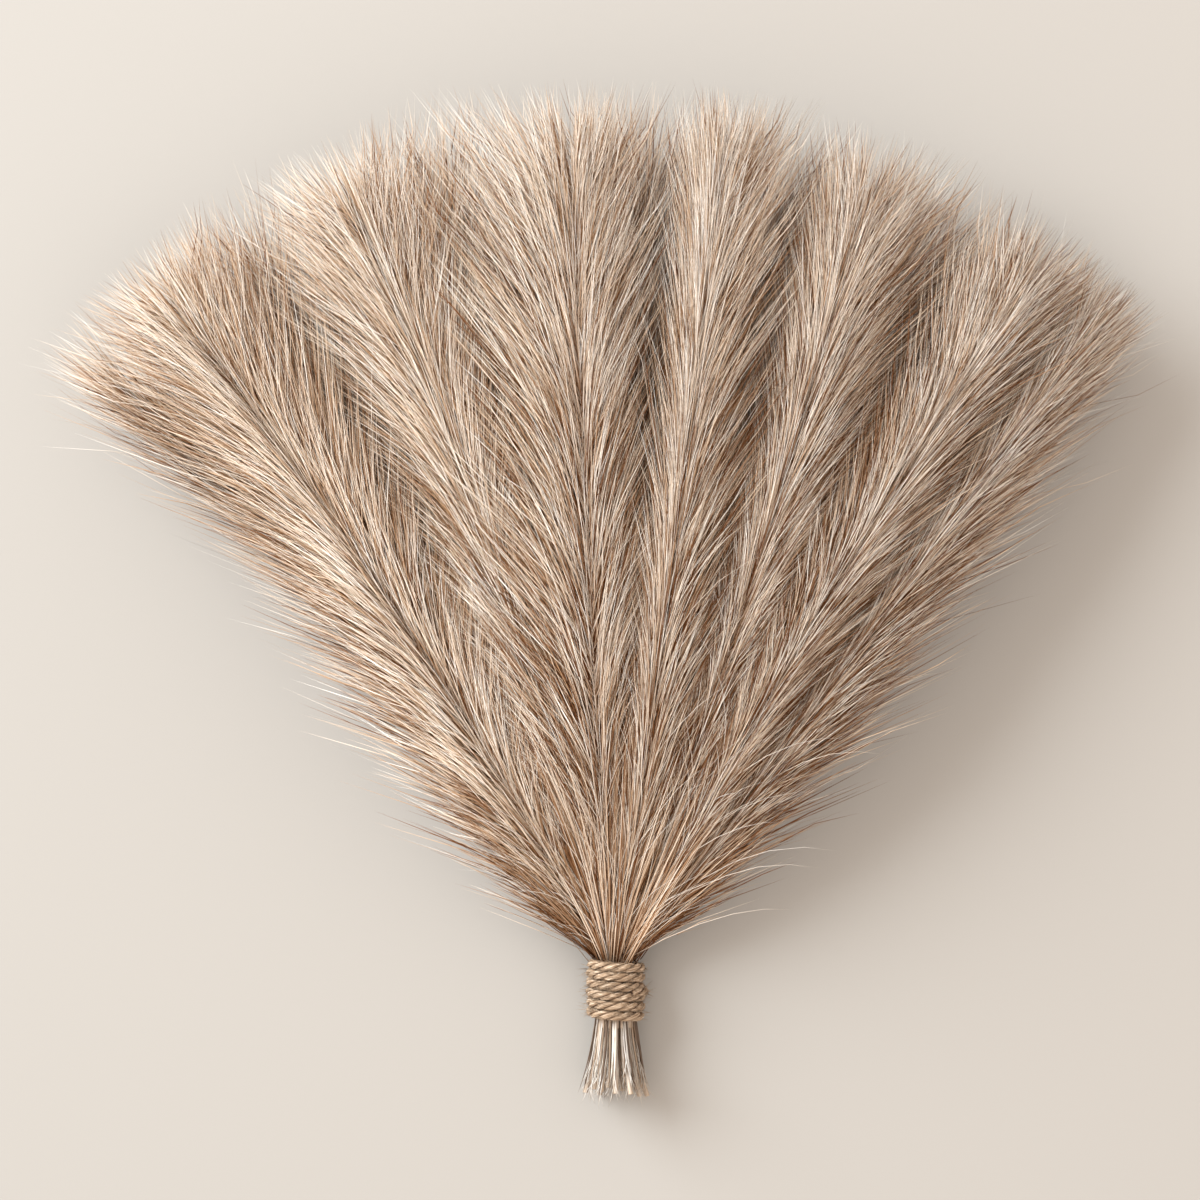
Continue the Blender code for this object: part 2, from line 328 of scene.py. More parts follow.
# Where each kind lies on the chart, from its left edge: its width, and a rod's foot and rise
HAIR_CHART, STRAW_CHART = (0.0, 0.5), (0.52, 0.40)
STEM_CHART = (0.94, 0.05, CHART_FOOT, CHART_RISE)
STALK_CHART = (STRAW_CHART[0] + STRAW_CHART[1] * math.floor(STRAW_TONE * BAKE_COLUMNS) / BAKE_COLUMNS,
               STRAW_CHART[1] / BAKE_COLUMNS, CHART_FOOT, CHART_RISE)
PLUME_INPUTS = STALK_INPUTS + (
    ("Hairs", "Int"), ("Segments", "Int"), ("Blades", "Int"), ("Seed", "Int"), ("Width Left", "Float"),
    ("Width Right", "Float"), ("Tip Width Left", "Float"), ("Tip Width Right", "Float"),
    ("Spread Left", "Float"), ("Spread Right", "Float"), ("Depth Above", "Float"), ("Depth Below", "Float"),
    ("Hair Radius", "Float"), ("Sag", "Float"), ("Shade", "Float"), ("Contrast", "Float"),
    ("Tip Tone", "Float"), ("Ridge", "Float"), ("Tip Rise", "Float"))


def joined_up(tree, *pieces):
    node = tree.nodes.new("GeometryNodeJoinGeometry")
    for piece in reversed(pieces):
        tree.links.new(piece.socket, node.inputs[0])
    return Flow(tree, node.outputs[0])


def finished(tree, geometry, material):
    return place(tree, "GeometryNodeSetMaterial", geometry=geometry, material=material)


def rod(tree, path, points, profile, thickness, chart, kept=None):
    """A closed rod along a path. Its chart is its left edge and width, and its foot and rise."""
    share = place(tree, "GeometryNodeSplineParameter")
    line = place(tree, "GeometryNodeCurvePrimitiveLine", end=(0.0, 0.0, 1.0))
    line = place(tree, "GeometryNodeResampleCurve", curve=line, count=points)
    line = place(tree, "GeometryNodeSetPosition", geometry=line, position=path)
    for name, (kind, value) in {"along": ("FLOAT", share), **(kept or {})}.items():
        line = stored(tree, line, name, value, kind)
    profile = stored(tree, profile, "around", share)
    made = place(tree, "GeometryNodeCurveToMesh", curve=line, profile_curve=profile, scale=thickness,
                 fill_caps=True)
    left, width, foot, rise = chart
    place_on_chart = vector(left + width * recalled(tree, "around"), foot + rise * recalled(tree, "along"), 0.0)
    made = stored(tree, made, "OFBake", place_on_chart, "FLOAT2", "CORNER")
    return place(tree, "GeometryNodeRemoveAttribute", geometry=made, name="around")


def make_plume_tree(hair_material, stem_material, straw_material):
    """One stalk: the hair of its plume, the stem inside it, and the cut straw below the tie."""
    tree, given = new_tree("pampas_stalk", PLUME_INPUTS, (("Stalk", "Geometry"),))
    seed, length = given["Seed"], given["Length"]
    course = {name.lower().replace(" ", "_"): given[name] for name, _ in STALK_INPUTS}

    def beside(along, sideways, above):
        return use_group(tree, beside_group, along=along, sideways=sideways, above=above, **course)

    def half_width(along, right):
        share = along / length
        late = limited((share - NARROWS_FROM) / (1 - NARROWS_FROM), 0, 1)
        narrowing = 1 - (1 - blend(given["Tip Width Left"], given["Tip Width Right"], right)) * late * late
        width = blend(given["Width Left"], given["Width Right"], right) * narrowing
        spread = blend(given["Spread Left"], given["Spread Right"], right)
        return maths("MINIMUM", width * curve_through(share, WIDTH_ALONG), STEM_ROOM + along * spread)

    def depth(along, up):
        fullness = curve_through(along / length, DEPTH_ALONG)
        raised = given["Tip Rise"] * up * limited(along / length - RISES_FROM, 0, 1 - RISES_FROM)
        return blend(given["Depth Below"], given["Depth Above"], up) * fullness + raised

    def strands(count, sides, segments, chart=HAIR_CHART, **shape):
        points = place(tree, "GeometryNodePoints", count=count)
        return use_group(tree, strand_group, points=points, sides=sides, segments=segments,
                         chart_start=chart[0], chart_width=chart[1], **shape)

    number = place(tree, "GeometryNodeInputIndex")
    lock = maths("FLOOR", number / HAIRS_PER_LOCK)

    def by_lock(salt, low=0.0, high=1.0):
        return chance(tree, seed, salt, lock, low, high)

    def by_one(salt, low=0.0, high=1.0):
        return chance(tree, seed, salt, number, low, high)

    # Hair leaves both sides of the stem like the barbs of a feather, in locks that lie over each other
    stray = maths("GREATER_THAN", by_one(11), 1 - STRAY_SHARE)
    dark = maths("GREATER_THAN", by_one(23), 1 - DARK_SHARE)
    start = blend(HAIR_START, length * HAIR_END_SHARE, by_lock(1)) + by_one(2, -0.013, 0.013)
    start = maths("MAXIMUM", start, by_one(26, -0.004, 0.006))
    right = maths("GREATER_THAN", by_lock(5), 0.5)
    facing = 2 * right - 1
    height = limited(1 - 2 * by_lock(6) ** TOP_HEAVINESS + by_one(18, -0.14, 0.14), -1, 1)
    up = maths("GREATER_THAN", height, 0)
    longest = length * curve_through(start / length, HAIR_LENGTH_ALONG)
    reach_share = by_lock(3, 0.4, 1.0) * by_one(4, 0.6, 1.05)
    tipward = limited(start / length, 0, 1) ** 2.0
    openness = blend(blend(0.0, 0.34, given["Ridge"]) * (1 - tipward), 1.25, by_lock(7))
    openness = blend(openness * by_one(8, 0.55, 1.4), by_one(19, FURTHEST_CROSSED, 1.5), stray)
    openness = limited(openness, FURTHEST_CROSSED, WIDEST_OPEN)
    aim = start + longest * reach_share
    end = maths("MINIMUM", aim, length * (1.012 - 0.07 * by_one(21) ** 2))
    out_share = reach_share * openness * (end - start) / (aim - start)
    side_tip = facing * out_share * half_width(aim, right)
    side_root = facing * (by_one(22, -0.0006, 0.0014) + 0.0022 * (1 - limited(start / 0.03, 0, 1)))
    sag = given["Sag"] * limited(out_share * out_share, 0, 1.2) * limited(0.35 + height, 0, 1)
    rise_tip = height * depth(end, up)
    rise_root = 0.0011 * height
    # Many hairs grow from small side branches, so they start part of the way along and deeper in the plume
    skipped = maths("MAXIMUM", by_one(20, -0.22, 0.58), 0)
    sunk = BRANCH_DEPTH * limited(skipped * 3, 0, 1) * up
    halfway = 0.5 + 0.5 * skipped
    outward = (halfway + by_lock(12, -0.09, 0.03) + by_one(13, -0.05, 0.05) * (1 + 2 * stray)
               + 0.22 * limited((end / length - 0.8) / 0.2, 0, 1))
    coarse = blend(1.2, 0.8, limited(start / length / 0.8, 0, 1))
    girth = given["Hair Radius"] * coarse * (0.5 + 0.7 * by_one(15) ** 1.4 + 0.35 * dark) * (1 - 0.42 * stray)
    # The topmost hair is the palest and the hair deeper in the plume darker, as painted shade, and the tips are
    # the palest. Some single hairs are brown, and they also stand in as painted shade for the gaps between
    # hairs, more so where the painted Shade is higher. The hair just above the tie is darker with painted shade
    # where the stalks crowd
    tone = (0.48 * height * height + given["Contrast"] * (by_one(16) - 0.5) + 0.20 * by_lock(17) + 0.11
            + 0.25 * stray - (1.16 + 3.2 * given["Shade"]) * given["Contrast"] * dark * (1 - 0.5 * tipward)
            + given["Tip Tone"] * tipward - given["Shade"] * (1 - tipward)
            - 0.20 * limited(1 - start / 0.08, 0, 1))
    hair = strands(
        given["Hairs"], 3, given["Segments"], radius=girth, tone=tone, blunt=0.55,
        root=beside(blend(start, end, skipped), blend(side_root, side_tip, skipped),
                    blend(rise_root, 0.8 * rise_tip, skipped) - 0.6 * sag * skipped - sunk),
        bend=beside(blend(start, end, halfway), blend(side_root, side_tip, outward),
                    blend(rise_root, rise_tip, 0.7) + by_one(14, -0.0006, 0.0020) - 0.4 * sag - 0.15 * sunk),
        tip=beside(end, side_tip + by_one(24, -0.004, 0.004), rise_tip - sag + by_one(25, -0.0005, 0.0022)))

    # Side stems, bare and coarse, run up out of the tie among the hair
    low = by_one(41, -0.004, 0.022)
    high = low + by_one(42, 0.045, 0.105)
    turned = by_one(43, -1, 1)
    blade_side = turned * 0.75 * half_width(high, maths("GREATER_THAN", turned, 0))
    blade_rise = depth(high, 1.0) * by_one(44, 0.35, 1.05)
    blades = strands(
        given["Blades"], 4, 5, root=beside(low, turned * 0.0012, 0.0008),
        bend=beside(blend(low, high, 0.5), blade_side * by_one(45, 0.35, 0.5), 0.0012 + blade_rise * 0.7),
        tip=beside(high, blade_side, blade_rise),
        radius=by_one(46, 0.00012, 0.00025), thinness=0.4, tone=by_one(47, 0.0, 0.66), blunt=0.6)

    # A few loose fibres lie across the hair, most of them just above the tie
    low = 0.15 * by_one(51) ** 1.7
    reach = by_one(52, 0.010, 0.058)
    swing = reach * by_one(53, -WISP_SWING, WISP_SWING)
    wisps = strands(
        WISPS, 3, 5, root=beside(low, 0.0, 0.0012),
        bend=beside(low + 0.75 * reach, swing * by_one(55, 0.15, 0.6), 0.006),
        tip=beside(low + reach, swing, by_one(54, 0.002, 0.009)),
        radius=by_one(56, 0.00009, 0.00018), tone=by_one(57, 0.7, 1.0))
    hair = finished(tree, joined_up(tree, hair, blades, wisps), hair_material)

    # The stem, from inside the tie nearly to the tip
    share = place(tree, "GeometryNodeSplineParameter")
    on_stem = blend(-2.2 * TIE_HALF_LENGTH, 0.93 * length, share)
    ring = place(tree, "GeometryNodeCurvePrimitiveCircle", resolution=7, radius=1.0)
    stem = rod(tree, beside(on_stem, 0.0, 0.0006 * given["Ridge"] * limited(on_stem / 0.03, 0, 1)), 44, ring,
               STALK_RADIUS * curve_through(share, STEM_GIRTH_ALONG), STEM_CHART)
    stem = finished(tree, stem, stem_material)

    # The straw below the tie: the grooved cut stalk, flat splits of its skin, and thin fibres that fray from it
    x0, z0 = given["Start"], given["Start Height"]
    cut = chance(tree, seed, 30, 0, 0.82, 1.02)
    outer = limited(maths("ABSOLUTE", x0) / 0.005, 0, 1)

    def on_straw(down, out_x, out_z):
        """The place beside the straw's middle, by the share of the way from the tie down to the cut end."""
        wider = 1 + STRAW_FLARE * down * down
        y = -TIE_HALF_LENGTH * 0.55 - down * (TIE_HALF_LENGTH * 0.45 + STRAW_LENGTH)
        z = maths("MAXIMUM", TIE_HEIGHT + (z0 - TIE_HEIGHT) * wider, STALK_RADIUS)
        return vector(x0 * wider + out_x, y, z + out_z)

    star = place(tree, "GeometryNodeCurveStar", points=7, inner_radius=0.78, outer_radius=1.05)
    stalk = rod(tree, on_straw(share * cut, 0.0, 0.0), 9, star,
                STALK_RADIUS * curve_through(share, STRAW_GIRTH_ALONG), STALK_CHART)
    stalk = stored(tree, stalk, "tone", STRAW_TONE)
    around = by_one(31, -math.pi, math.pi)
    off = STALK_RADIUS * by_one(32, 0.35, 0.9)
    off_x, off_z = off * maths("COSINE", around), off * maths("SINE", around)
    reach = cut * by_one(33, 0.9, 1.06)
    # Some splits are painted dark: painted shade in the gaps between the straws
    dark = maths("GREATER_THAN", by_one(40), 1 - DARK_SPLIT_SHARE)
    splits = strands(
        SPLITS, 4, 6, STRAW_CHART, root=on_straw(0.0, off_x, off_z),
        bend=on_straw(reach * 0.55, off_x * 1.1 + by_one(35, -0.0008, 0.0008), off_z * 1.2),
        tip=on_straw(reach, off_x * 1.8 + by_one(36, -0.0012, 0.0012), off_z * 1.5),
        radius=by_one(37, 0.0002, 0.00055), thinness=0.6, blunt=1.3,
        tone=0.25 + 0.75 * by_one(38) - 0.6 * outer * by_one(39) - 0.5 * dark)
    low = by_one(61, 0.1, 0.75)
    high = cut * by_one(62, 0.85, 1.12)
    swing = by_one(63, -0.0034, 0.0034)
    frays = strands(
        FRAYS, 3, 6, STRAW_CHART, root=on_straw(low, off_x, off_z * 1.2),
        bend=on_straw(blend(low, high, 0.6), off_x - swing * 0.8, off_z * 2.0),
        tip=on_straw(high, off_x + swing, off_z * 1.4), radius=by_one(64, 0.00013, 0.00030),
        tone=0.5 + 0.5 * by_one(65), blunt=0.7)
    straw = finished(tree, joined_up(tree, stalk, splits, frays), straw_material)

    hand_out(tree, stalk=joined_up(tree, straw, stem, hair))
    return tree


def shader_of(name, roughness):
    """A new material, with its node tree and its shader."""
    material = bpy.data.materials.new(name)
    material.use_nodes = True
    shader = material.node_tree.nodes["Principled BSDF"]
    shader.inputs["Roughness"].default_value = roughness
    return material, material.node_tree, shader


def ramp(value, stops):
    """A colour that changes with a value, through (place, colour) stops."""
    node = value.tree.nodes.new("ShaderNodeValToRGB")
    feed(node.inputs[0], value)
    for position, _ in stops[1:-1]:
        node.color_ramp.elements.new(position)
    for element, (position, colour) in zip(node.color_ramp.elements, stops):
        element.position = position
        element.color = (*colour, 1)
    return Flow(value.tree, node.outputs[0])


def tinted(colour, tint, share):
    """A colour multiplied by a tint, as far as the share says."""
    node = colour.tree.nodes.new("ShaderNodeMix")
    node.data_type = "RGBA"
    node.blend_type = "MULTIPLY"
    for name, value in (("Factor", share), ("A", colour), ("B", tint)):
        feed(next(s for s in node.inputs if s.name == name and s.enabled), value)
    return Flow(colour.tree, next(s for s in node.outputs if s.enabled))


def attribute_flow(tree, name):
    return place(tree, "ShaderNodeAttribute", outlet="Fac", settings={"attribute_name": name})


def tone_of_strand(tree):
    """The strand's tone, in the steps that its chart has columns for."""
    return (maths("FLOOR", limited(attribute_flow(tree, "tone"), 0, 0.999) * BAKE_COLUMNS) + 0.5) / BAKE_COLUMNS


def make_streaks_group():
    """Dry plant fibres: fine lines that run along a piece of the chart, as a value from 0 to 1."""
    tree = bpy.data.node_groups.new("dry_fibre_streaks", "ShaderNodeTree")
    for label, start in (("Lines", 400.0), ("Breaks", 9.0), ("Contrast", 1.0)):
        tree.interface.new_socket(label, in_out="INPUT", socket_type="NodeSocketFloat").default_value = start
    tree.interface.new_socket("Streaks", in_out="OUTPUT", socket_type="NodeSocketFloat")
    entry = tree.nodes.new("NodeGroupInput")
    lines, breaks, contrast = (Flow(tree, entry.outputs[name]) for name in ("Lines", "Breaks", "Contrast"))
    u, v, _ = parts_of(place(tree, "ShaderNodeUVMap", settings={"uv_map": "OFBake"}))
    noise = place(tree, "ShaderNodeTexNoise", vector=vector(u * lines, v * breaks, 0.0), scale=1.0, detail=3.0)
    way_out = tree.nodes.new("NodeGroupOutput")
    feed(way_out.inputs["Streaks"], limited((noise - 0.5) * contrast + 0.5, 0, 1))
    return tree


def streaks(tree, lines, breaks, contrast):
    node = tree.nodes.new("ShaderNodeGroup")
    node.node_tree = streaks_group
    for name, value in (("Lines", lines), ("Breaks", breaks), ("Contrast", contrast)):
        node.inputs[name].default_value = value
    return Flow(tree, node.outputs["Streaks"])


streaks_group = make_streaks_group()


def make_hair_material():
    material, tree, shader = shader_of("dried_pampas_hair", 0.62)
    tone, along = tone_of_strand(tree), attribute_flow(tree, "along")
    colour = ramp(tone, ((0.0, (0.14, 0.050, 0.014)), (0.25, (0.37, 0.215, 0.115)), (0.5, (0.69, 0.535, 0.40)),
                         (0.75, (0.785, 0.69, 0.59)), (1.0, (0.845, 0.785, 0.72))))
    # The strands darken towards their roots: painted shade where they lie hidden inside the plume, weaker on
    # pale hair
    shade = ramp(along, ((0.0, (0.66, 0.52, 0.41)), (0.25, (0.89, 0.82, 0.76)), (0.55, (1.0, 1.0, 1.0)),
                         (1.0, (1.06, 1.06, 1.06))))
    feed(shader.inputs["Base Color"], tinted(colour, shade, 1 - 0.45 * tone))
    shader.inputs["Specular IOR Level"].default_value = 0.15
    return material


def make_stem_material():
    material, tree, shader = shader_of("dried_pampas_stem", 0.55)
    lines = streaks(tree, 160.0, 25.0, 1.6)
    feed(shader.inputs["Base Color"], ramp(lines, ((0.0, (0.35, 0.24, 0.16)), (0.5, (0.50, 0.38, 0.28)),
                                                   (1.0, (0.63, 0.50, 0.39)))))
    return material


def make_straw_material():
    material, tree, shader = shader_of("dried_pampas_straw", 0.55)
    tone, along = tone_of_strand(tree), attribute_flow(tree, "along")
    lines = streaks(tree, 800.0, 5.0, 2.2)
    colour = ramp(tone, ((0.0, (0.10, 0.06, 0.035)), (0.15, (0.25, 0.165, 0.105)),
                         (0.3, (0.49, 0.385, 0.29)), (0.55, (0.53, 0.50, 0.465)),
                         (0.75, (0.58, 0.545, 0.50)), (1.0, (0.66, 0.60, 0.52))))
    colour = tinted(colour, ramp(lines, ((0.0, (0.62, 0.54, 0.46)), (0.5, (0.95, 0.93, 0.91)),
                                         (1.0, (1.08, 1.08, 1.08)))), 1.0)
    colour = tinted(colour, ramp(along, ((0.0, (0.80, 0.74, 0.68)), (0.35, (1.0, 1.0, 1.0)),
                                         (0.8, (1.0, 0.98, 0.96)), (1.0, (0.95, 0.86, 0.76)))), 1.0)
    feed(shader.inputs["Base Color"], colour)
    grooves = place(tree, "ShaderNodeBump", strength=0.5, distance=0.0002, height=lines)
    feed(shader.inputs["Normal"], grooves)
    return material


plume_tree = make_plume_tree(make_hair_material(), make_stem_material(), make_straw_material())

# How much hair each layer's plumes have, how deep it lies above and below the stem, how far it sags beside it,
# how much painted shade darkens it, which lies on the lower layers under the upper one, and how far the tips
# rise
LAYER_LOOKS = {
    "lower": {"Hairs": 2700, "Segments": 2, "Blades": 16, "Depth Above": 0.009, "Depth Below": 0.0125,
              "Sag": 0.003, "Shade": 0.17, "Tip Rise": 0.055},
    "middle": {"Hairs": 2000, "Segments": 2, "Blades": 10, "Depth Above": 0.009, "Depth Below": 0.009,
               "Sag": 0.004, "Shade": 0.19, "Tip Rise": 0.040},
    "upper": {"Hairs": 8300, "Segments": 2, "Blades": 60, "Depth Above": 0.005, "Depth Below": 0.014,
              "Sag": 0.012, "Shade": 0.0, "Tip Rise": 0.006},
}
OVERLAP = 3.0
OUTER_SPREAD = 0.60
OUTER_WIDTHS = {"lower": (0.033, 0.038), "middle": (0.038, 0.032), "upper": (0.044, 0.034)}
OUTER_TIP_WIDTHS = {"lower": (0.5, 0.35), "middle": (0.9, 0.6), "upper": (1.1, 0.6)}
INNER_WIDTH, INNER_TIP_WIDTH = 0.044, 1.1
HAIR_RADIUS = 0.00022
CONTRAST = 0.50
TIP_TONE = 0.28
# What the outermost plume on the left has less of than the middle one. The one on the right has as much more
# of the first three. All but the sag are painted light and shade for the lamp on the left: the plumes are
# paler on the left and darker with more contrast on the right, and the left tips are less pale where the
# lamp lights them
SIDE_SHADE, SIDE_SAG, SIDE_CONTRAST, SIDE_TIP_TONE = 0.04, 0.5, 0.14, 0.26


def plume_room(layer, leans, number, widths):
    """The hair's room on the left and right: its width, its share at the tip, and its spread from the tie."""
    room = {}
    for side, beside, width, outer_width, outer_tip in zip(
            ("Left", "Right"), (number - 1, number + 1), widths, OUTER_WIDTHS[layer], OUTER_TIP_WIDTHS[layer]):
        inner = 0 <= beside < len(leans)
        apart = abs(sum(leans[beside]) - sum(leans[number])) / 2 if inner else 0
        room["Width " + side] = width if inner else outer_width
        room["Tip Width " + side] = INNER_TIP_WIDTH if inner else outer_tip
        room["Spread " + side] = (OVERLAP * math.radians(apart) / 2 * width / INNER_WIDTH if inner
                                  else OUTER_SPREAD)
    return room


def plain_mesh_of(name, tree, settings):
    """The result of a geometry tree with these settings, as a plain mesh object at the origin."""
    carrier = bpy.data.objects.new(name + "_carrier", bpy.data.meshes.new(name + "_carrier"))
    bpy.context.scene.collection.objects.link(carrier)
    modifier = carrier.modifiers.new("shape", "NODES")
    modifier.node_group = tree
    for socket in tree.interface.items_tree:
        if socket.in_out == "INPUT" and socket.name in settings:
            modifier[socket.identifier] = settings[socket.name]
    graph = bpy.context.evaluated_depsgraph_get()
    mesh = bpy.data.meshes.new_from_object(carrier.evaluated_get(graph))
    carrier.modifiers.remove(modifier)
    bpy.data.objects.remove(carrier)
    mesh.name = name
    if mesh.materials[0] is None:
        mesh.materials.pop(index=0)
    made = bpy.data.objects.new(name, mesh)
    bpy.context.scene.collection.objects.link(made)
    return made


for layer_number, (layer, facts) in enumerate(LAYERS.items()):
    leans = [lean if isinstance(lean, tuple) else (lean * LEAN_SHARE_AT_TIE, lean)
             for lean in facts["leans"]]
    lifts = facts.get("lifts", (0,) * len(leans))
    widths = facts.get("widths", ((INNER_WIDTH, INNER_WIDTH),) * len(leans))
    ridges = facts.get("ridges", (0.3,) * len(leans))
    for number, ((row, slot), (low_lean, tip_lean)) in enumerate(zip(facts["slots"], leans)):
        aside = tip_lean / SIDE_LEAN
        stalk = plain_mesh_of(f"pampas_{layer}_{number + 1}", plume_tree, {
            "Start": slot * STALK_SPACING,
            "Start Height": TIE_HEIGHT + row * ROW_HEIGHT,
            "Height": facts["height"] + lifts[number],
            "Lean At Tie": math.radians(low_lean),
            "Lean At Tip": math.radians(tip_lean),
            "Length": PLUME_LENGTH * (1 - SHORTER_AT_SIDES * aside ** 2),
            "Seed": 100 * (10 * layer_number + number),
            "Hair Radius": HAIR_RADIUS,
            "Ridge": ridges[number],
            **plume_room(layer, leans, number, widths[number]),
            **LAYER_LOOKS[layer],
            # Painted light on the left plumes and painted shade on the right ones, for the lamp on the left
            "Shade": LAYER_LOOKS[layer]["Shade"] + SIDE_SHADE * aside,
            "Sag": LAYER_LOOKS[layer]["Sag"] * (1 + SIDE_SAG * aside),
            "Contrast": CONTRAST + SIDE_CONTRAST * aside,
            "Tip Tone": TIP_TONE + SIDE_TIP_TONE * min(aside, 0),
        })
        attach(stalk, "root")
        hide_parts(f"plume_{layer}_{number + 1}")

# ---------------------------------------------------------------------------------------------------------
# The twine. It is one length of brown jute, three strands laid together, that holds the stalks. It is wound
# five and a half times round them by hand, and its end is tucked between two turns where it shows.
# ---------------------------------------------------------------------------------------------------------

TWINE_RADIUS = 0.0019
TWINE_PITCH = 0.0039
TWINE_TURNS = 5.5
COIL_RADIUS = 0.01005
LAY_LENGTH = 0.0150
LAID_STRANDS = 3
STRAND_RADIUS = 0.00100
STRAND_OFFSET = 0.00096
COIL_DRIFT, PITCH_DRIFT, STRAND_DRIFT = 0.0007, 0.0011, 0.5
TUCK_DEPTH, TUCKED_SHARE = 0.0016, 0.015
STRAND_CHART_STEP, STRAND_CHART_WIDTH = 0.28, 0.27
FIBRE_CHART_START, FIBRE_CHART_WIDTH = 0.86, 0.12
TWINE_INPUTS = (("First Turn", "Float"), ("Turns", "Float"), ("Pitch", "Float"), ("Shift", "Float"),
                ("Coil Radius", "Float"), ("Ends Tucked", "Float"), ("Rings", "Int"), ("Fibres", "Int"),
                ("Seed", "Int"), ("Chart Foot", "Float"), ("Chart Rise", "Float"))


def make_twine_tree(jute):
    """A length of laid twine on a coil: three grooved strands, and the fibres that stand off them."""
    tree, given = new_tree("laid_twine", TWINE_INPUTS, (("Twine", "Geometry"),))
    seed = given["Seed"]
    share = place(tree, "GeometryNodeSplineParameter")

    def drift(turn, row, size):
        """How far hand winding is from even, which changes slowly along the coil."""
        noise = place(tree, "ShaderNodeTexNoise", vector=vector(turn * 2.3, row, seed), scale=1.0, detail=2.0)
        return (noise - 0.5) * size

    def outward_at(turn):
        angle = turn * (2 * math.pi)
        return vector(maths("SINE", angle), 0.0, 0 - maths("COSINE", angle))

    def beside_axis(turn, part, out, along_coil):
        """The place beside the twine's axis: out from the coil, and towards the fan."""
        from_middle = maths("ABSOLUTE", part - 0.5) * 2
        near_end = maths("MAXIMUM", from_middle - (1 - TUCKED_SHARE), 0) / TUCKED_SHARE
        tucked = TUCK_DEPTH * near_end * given["Ends Tucked"]
        radius = given["Coil Radius"] + drift(turn, 3.0, COIL_DRIFT) - tucked + out
        y = turn * given["Pitch"] + given["Shift"] + drift(turn, 9.0, PITCH_DRIFT) + along_coil
        return vector(0.0, y, TIE_HEIGHT) + outward_at(turn) * radius

    strands = []
    for number in range(LAID_STRANDS):
        turn = given["First Turn"] + given["Turns"] * share
        lay = (turn * (-2 * math.pi * COIL_RADIUS / LAY_LENGTH) + number / LAID_STRANDS) * (2 * math.pi)
        path = beside_axis(turn, share, STRAND_OFFSET * maths("COSINE", lay),
                           STRAND_OFFSET * maths("SINE", lay))
        star = place(tree, "GeometryNodeCurveStar", points=9, inner_radius=0.90, outer_radius=1.04)
        strands.append(rod(
            tree, path, given["Rings"], star, STRAND_RADIUS * (1 + drift(turn * 5, 20.0 + number, STRAND_DRIFT)),
            (STRAND_CHART_STEP * number, STRAND_CHART_WIDTH, given["Chart Foot"], given["Chart Rise"]),
            {"axis": ("FLOAT_VECTOR", beside_axis(turn, share, 0.0, 0.0))}))
    laid = joined_up(tree, *strands)
    position = place(tree, "GeometryNodeInputPosition")
    # How far each point lies from the twine's middle, which sets the painted shade in the grooves between
    # strands
    from_axis = maths("LENGTH", position - recalled(tree, "axis", "FLOAT_VECTOR")) / TWINE_RADIUS
    laid = stored(tree, laid, "depth", from_axis)
    laid = place(tree, "GeometryNodeRemoveAttribute", geometry=laid, name="axis")
    x, y, z = parts_of(position)
    laid = place(tree, "GeometryNodeSetPosition", geometry=laid,
                 position=vector(x, y, maths("MAXIMUM", z, LOWEST)))
    laid = place(tree, "GeometryNodeSetShadeSmooth", geometry=laid)

    number = place(tree, "GeometryNodeInputIndex")

    def by_one(salt, low=0.0, high=1.0):
        return chance(tree, seed, salt, number, low, high)

    part = by_one(1, 0.01, 0.99)
    turn = given["First Turn"] + given["Turns"] * part
    far_turn = turn + by_one(2, -0.11, 0.11)
    side = by_one(3, -1.5, 1.5)
    raised = by_one(4) ** 3 * 0.0058
    out, level = TWINE_RADIUS * maths("COSINE", side), TWINE_RADIUS * maths("SINE", side)
    points = place(tree, "GeometryNodePoints", count=given["Fibres"])
    fuzz = use_group(
        tree, strand_group, points=points, sides=3, segments=3,
        root=beside_axis(turn, part, 0.9 * out, 0.9 * level),
        bend=beside_axis(blend(turn, far_turn, 0.6), part, 1.04 * out + 0.3 * raised,
                         level + by_one(5, -0.0006, 0.0006)),
        tip=beside_axis(far_turn, part, 1.02 * out + raised,
                        level * (1 + raised * 120) + by_one(6, -0.0013, 0.0013)),
        radius=by_one(7, 0.00007, 0.00015), tone=by_one(8), chart_start=FIBRE_CHART_START,
        chart_width=FIBRE_CHART_WIDTH)
    fuzz = stored(tree, fuzz, "depth", 0.95)
    hand_out(tree, twine=finished(tree, joined_up(tree, laid, fuzz), jute))
    return tree


def make_jute_material():
    material, tree, shader = shader_of("laid_jute", 0.75)
    lines, depth = streaks(tree, 46.0, 110.0, 2.4), attribute_flow(tree, "depth")
    colour = ramp(lines, ((0.0, (0.22, 0.135, 0.07)), (0.4, (0.33, 0.215, 0.13)), (0.7, (0.50, 0.365, 0.25)),
                          (1.0, (0.80, 0.665, 0.51))))
    # Painted shade: darker the nearer it lies to the twine's middle, in the grooves between the laid strands
    colour = tinted(colour, ramp(depth, ((0.35, (0.09, 0.05, 0.025)), (0.66, (0.31, 0.22, 0.15)),
                                         (0.85, (0.96, 0.94, 0.92)), (1.0, (1.0, 1.0, 1.0)))), 1.0)
    feed(shader.inputs["Base Color"], colour)
    feed(shader.inputs["Normal"], place(tree, "ShaderNodeBump", strength=0.8, distance=0.0003, height=lines))
    return material


